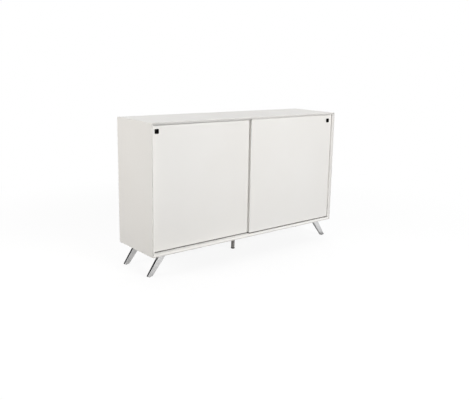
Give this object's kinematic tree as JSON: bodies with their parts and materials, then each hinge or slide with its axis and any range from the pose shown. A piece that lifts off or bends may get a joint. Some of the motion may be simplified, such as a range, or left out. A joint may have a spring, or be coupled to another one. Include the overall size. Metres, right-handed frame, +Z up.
{
  "type": "office cabinet",
  "caption": "Low office sideboard with bypass sliding doors in a mitred carcass with chamfered front edges, on splayed blade legs and a centre support.",
  "frame": {"origin": "on the floor, under the middle of the carcass", "axes": "+X along the width with the front lane's door on the right, -Y out of the front, +Z up"},
  "size_m": [1.6118, 0.425, 0.978],
  "materials": {
    "white_board": "white melamine-faced board, satin",
    "white_inside": "white melamine-faced board, matt",
    "white_plastic": "white moulded plastic",
    "pull_black": "black moulded plastic",
    "housing_grey": "grey moulded plastic",
    "nylon": "natural nylon",
    "bright_steel": "nickel plated",
    "bumper_rubber": "grey rubber",
    "polished_aluminium": "cast, polished",
    "glide_black": "black moulded plastic",
    "post_grey": "dark grey powder coat",
    "foot_black": "black moulded plastic"
  },
  "bodies": {
    "carcass": {"back_panel": "white_inside", "bottom_panel": "white_board", "bumper_left_front_lane": "bumper_rubber", "bumper_left_rear_lane": "bumper_rubber", "bumper_right_front_lane": "bumper_rubber", "bumper_right_rear_lane": "bumper_rubber", "centre_divider": "white_inside", "centre_support_post": "post_grey", "front_left_glide": "glide_black", "front_left_leg": "polished_aluminium", "front_right_glide": "glide_black", "front_right_leg": "polished_aluminium", "left_shelf": "white_inside", "left_side_panel": "white_board", "lower_track": "white_plastic", "rear_left_glide": "glide_black", "rear_left_leg": "polished_aluminium", "rear_right_glide": "glide_black", "rear_right_leg": "polished_aluminium", "right_shelf": "white_inside", "right_side_panel": "white_board", "shelf_pin_left_inner_back": "bright_steel", "shelf_pin_left_inner_front": "bright_steel", "shelf_pin_left_outer_back": "bright_steel", "shelf_pin_left_outer_front": "bright_steel", "shelf_pin_right_inner_back": "bright_steel", "shelf_pin_right_inner_front": "bright_steel", "shelf_pin_right_outer_back": "bright_steel", "shelf_pin_right_outer_front": "bright_steel", "top_panel": "white_board", "upper_track": "white_plastic"},
    "left_door": {"left_door": "white_board", "left_door_inner_axle": "bright_steel", "left_door_inner_roller_housing": "housing_grey", "left_door_inner_top_guide": "white_plastic", "left_door_outer_axle": "bright_steel", "left_door_outer_roller_housing": "housing_grey", "left_door_outer_top_guide": "white_plastic", "left_door_pull": "pull_black"},
    "left_door_inner_roller": {"left_door_inner_roller": "nylon"},
    "left_door_outer_roller": {"left_door_outer_roller": "nylon"},
    "right_door": {"right_door": "white_board", "right_door_inner_axle": "bright_steel", "right_door_inner_roller_housing": "housing_grey", "right_door_inner_top_guide": "white_plastic", "right_door_outer_axle": "bright_steel", "right_door_outer_roller_housing": "housing_grey", "right_door_outer_top_guide": "white_plastic", "right_door_pull": "pull_black"},
    "right_door_inner_roller": {"right_door_inner_roller": "nylon"},
    "right_door_outer_roller": {"right_door_outer_roller": "nylon"},
    "levelling_foot": {"centre_support_foot": "foot_black"}
  },
  "joints": [
    {"name": "left_door_slide", "type": "slide", "parent": "carcass", "child": "left_door", "axis": [1, 0, 0], "range_m": [0, 0.7717]},
    {"name": "right_door_slide", "type": "slide", "parent": "carcass", "child": "right_door", "axis": [1, 0, 0], "range_m": [-0.7717, 0]},
    {"name": "left_door_outer_roller_spin", "type": "hinge", "parent": "left_door", "child": "left_door_outer_roller", "pos_m": [-0.7082, -0.1641, 0.1703], "axis": [0, 1, 0], "continuous": true},
    {"name": "left_door_inner_roller_spin", "type": "hinge", "parent": "left_door", "child": "left_door_inner_roller", "pos_m": [-0.0635, -0.1641, 0.1703], "axis": [0, 1, 0], "continuous": true},
    {"name": "right_door_outer_roller_spin", "type": "hinge", "parent": "right_door", "child": "right_door_outer_roller", "pos_m": [0.7082, -0.1841, 0.1703], "axis": [0, 1, 0], "continuous": true},
    {"name": "right_door_inner_roller_spin", "type": "hinge", "parent": "right_door", "child": "right_door_inner_roller", "pos_m": [0.0635, -0.1841, 0.1703], "axis": [0, 1, 0], "continuous": true},
    {"name": "centre_foot_level", "type": "slide", "parent": "carcass", "child": "levelling_foot", "axis": [0, 0, -1], "range_m": [0, 0.012]}
  ],
  "couplings": [
    {"joint": "left_door_outer_roller_spin", "follows": "left_door_slide", "rad_per_m": 76.923},
    {"joint": "left_door_inner_roller_spin", "follows": "left_door_slide", "rad_per_m": 76.923},
    {"joint": "right_door_outer_roller_spin", "follows": "right_door_slide", "rad_per_m": 76.923},
    {"joint": "right_door_inner_roller_spin", "follows": "right_door_slide", "rad_per_m": 76.923}
  ]
}
